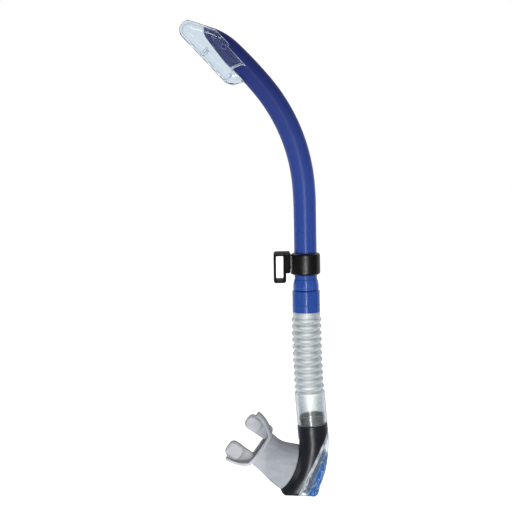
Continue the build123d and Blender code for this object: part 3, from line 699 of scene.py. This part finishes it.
def bead(points, closed, radius, verts, sides):
    """Thin closed tube along one chain, added to the lists of vertices and faces."""
    count = len(points)
    base = len(verts)
    first = None
    for i, point in enumerate(points):
        before = points[i - 1] if i or closed else point
        after = points[(i + 1) % count] if i < count - 1 or closed else point
        along = (after - before).normalized()
        first = along.orthogonal() if first is None else first - along * first.dot(along)
        first = (first if first.length > 1e-9 else along.orthogonal()).normalized()
        second = along.cross(first)
        for k in range(BEAD_SIDES):
            t = 2 * math.pi * k / BEAD_SIDES
            verts.append(point + first * (radius * math.cos(t)) + second * (radius * math.sin(t)))
    for i in range(count if closed else count - 1):
        low, high = base + i * BEAD_SIDES, base + (i + 1) % count * BEAD_SIDES
        turn = 0
        if i == count - 1:
            turn = min(range(BEAD_SIDES), key=lambda k: (verts[high + k] - verts[low]).length)
        for k in range(BEAD_SIDES):
            k2 = (k + 1) % BEAD_SIDES
            up, up2 = (k + turn) % BEAD_SIDES, (k2 + turn) % BEAD_SIDES
            sides.append((low + k, low + k2, high + up2, high + up))
    if not closed:
        last = base + (count - 1) * BEAD_SIDES
        sides.append(tuple(base + k for k in range(BEAD_SIDES - 1, -1, -1)))
        sides.append(tuple(last + k for k in range(BEAD_SIDES)))


def edge_highlight_beads(node, name, radius, mat, body):
    """Thin pale bead along each sharp edge of a clear moulding: a painted highlight where the edge catches
    the light.
    """
    shell = bmesh.new()
    shell.from_mesh(nodes[node].data)
    bmesh.ops.remove_doubles(shell, verts=shell.verts, dist=1e-6)
    shell.verts.index_update()
    shell.edges.index_update()
    inset = Vector((radius, radius, radius)) * 1.05
    low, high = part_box(node)
    low, high = low + inset, high - inset  # no bead reaches past the node's box
    verts, sides = [], []
    for points, closed in sharp_chains(shell):
        points = [
            Vector(max(least, min(most, value)) for least, value, most in zip(low, point, high))
            for point in points
        ]
        kept = [points[0]]
        for point in points[1:]:
            if (point - kept[-1]).length > radius:
                kept.append(point)
        if closed and (kept[-1] - kept[0]).length < radius:
            kept.pop()
        if len(kept) > (2 if closed else 1):
            bead(kept, closed, radius, verts, sides)
    shell.free()
    mesh = bpy.data.meshes.new(name)
    mesh.from_pydata(verts, [], sides)
    mesh.update()
    turn_outward(mesh)
    obj = new_object(name, mesh, mat)
    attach(obj, body)


# Painted highlight: pale beads along the clear mouldings' sharp edges stand in for the light those edges
# catch.
edge_highlight_mat = material("painted_edge_highlight", (0.62, 0.68, 0.78), 0.18, Coat_Weight=0.6)
vary_colour(edge_highlight_mat, noise_node(edge_highlight_mat, 130.0, 3.0).outputs["Fac"], [
    (0.35, (0.50, 0.55, 0.64)), (0.65, (0.86, 0.90, 0.96)),
])
edge_highlight_beads("splash_guard", "guard_edge_highlights", 0.19 * MM, edge_highlight_mat, "barrel")
edge_highlight_beads("purge_cover", "cover_edge_highlights", 0.12 * MM, edge_highlight_mat, "mouth_unit")

# ------------------------------------------------------------------ floor
floor_mat = material(
    "floor_pale", (0.9, 0.9, 0.9), 0.9, Emission_Color=WHITE, Emission_Strength=0.95,
)
vary_rough(floor_mat, noise_node(floor_mat, 3.0), 0.85, 0.95)
floor_mesh = bpy.data.meshes.new("floor")
floor_mesh.from_pydata(
    [(-FLOOR_HALF, -FLOOR_HALF, FLOOR_Z), (FLOOR_HALF, -FLOOR_HALF, FLOOR_Z),
     (FLOOR_HALF, FLOOR_HALF, FLOOR_Z), (-FLOOR_HALF, FLOOR_HALF, FLOOR_Z)],
    [], [(0, 1, 2, 3)],
)
floor = bpy.data.objects.new("floor", floor_mesh)
floor_mesh.materials.append(floor_mat)
bpy.context.scene.collection.objects.link(floor)
floor.visible_glossy = False


def backdrop(radius, rows, columns):
    """White surround, seen only by the camera and through clear pieces."""
    points = [Vector((0, 0, radius))]
    for i in range(1, rows):
        t = math.pi * i / rows
        for j in range(columns):
            a = 2 * math.pi * j / columns
            ray = Vector((math.sin(t) * math.cos(a), math.sin(t) * math.sin(a), math.cos(t)))
            points.append(ray * radius)
    points.append(Vector((0, 0, -radius)))
    last = len(points) - 1
    sides = []
    for j in range(columns):
        k = (j + 1) % columns
        sides.append((0, 1 + j, 1 + k))
        sides.append((last, last - columns + k, last - columns + j))
        for i in range(rows - 2):
            a, b = 1 + i * columns, 1 + (i + 1) * columns
            sides.append((a + j, b + j, b + k, a + k))
    mesh = bpy.data.meshes.new("backdrop")
    mesh.from_pydata(points, [], sides)
    return mesh


backdrop_mat = material(
    "backdrop_white", (0.0, 0.0, 0.0), 1.0, Specular_IOR_Level=0.0,
    Emission_Color=WHITE, Emission_Strength=1.0,
)
vary_rough(backdrop_mat, noise_node(backdrop_mat, 2.0), 0.95, 1.0)
backdrop_obj = bpy.data.objects.new("backdrop", backdrop(9.0, 24, 48))
backdrop_obj.data.materials.append(backdrop_mat)
bpy.context.scene.collection.objects.link(backdrop_obj)
backdrop_obj.visible_diffuse = False
backdrop_obj.visible_glossy = False
backdrop_obj.visible_shadow = False
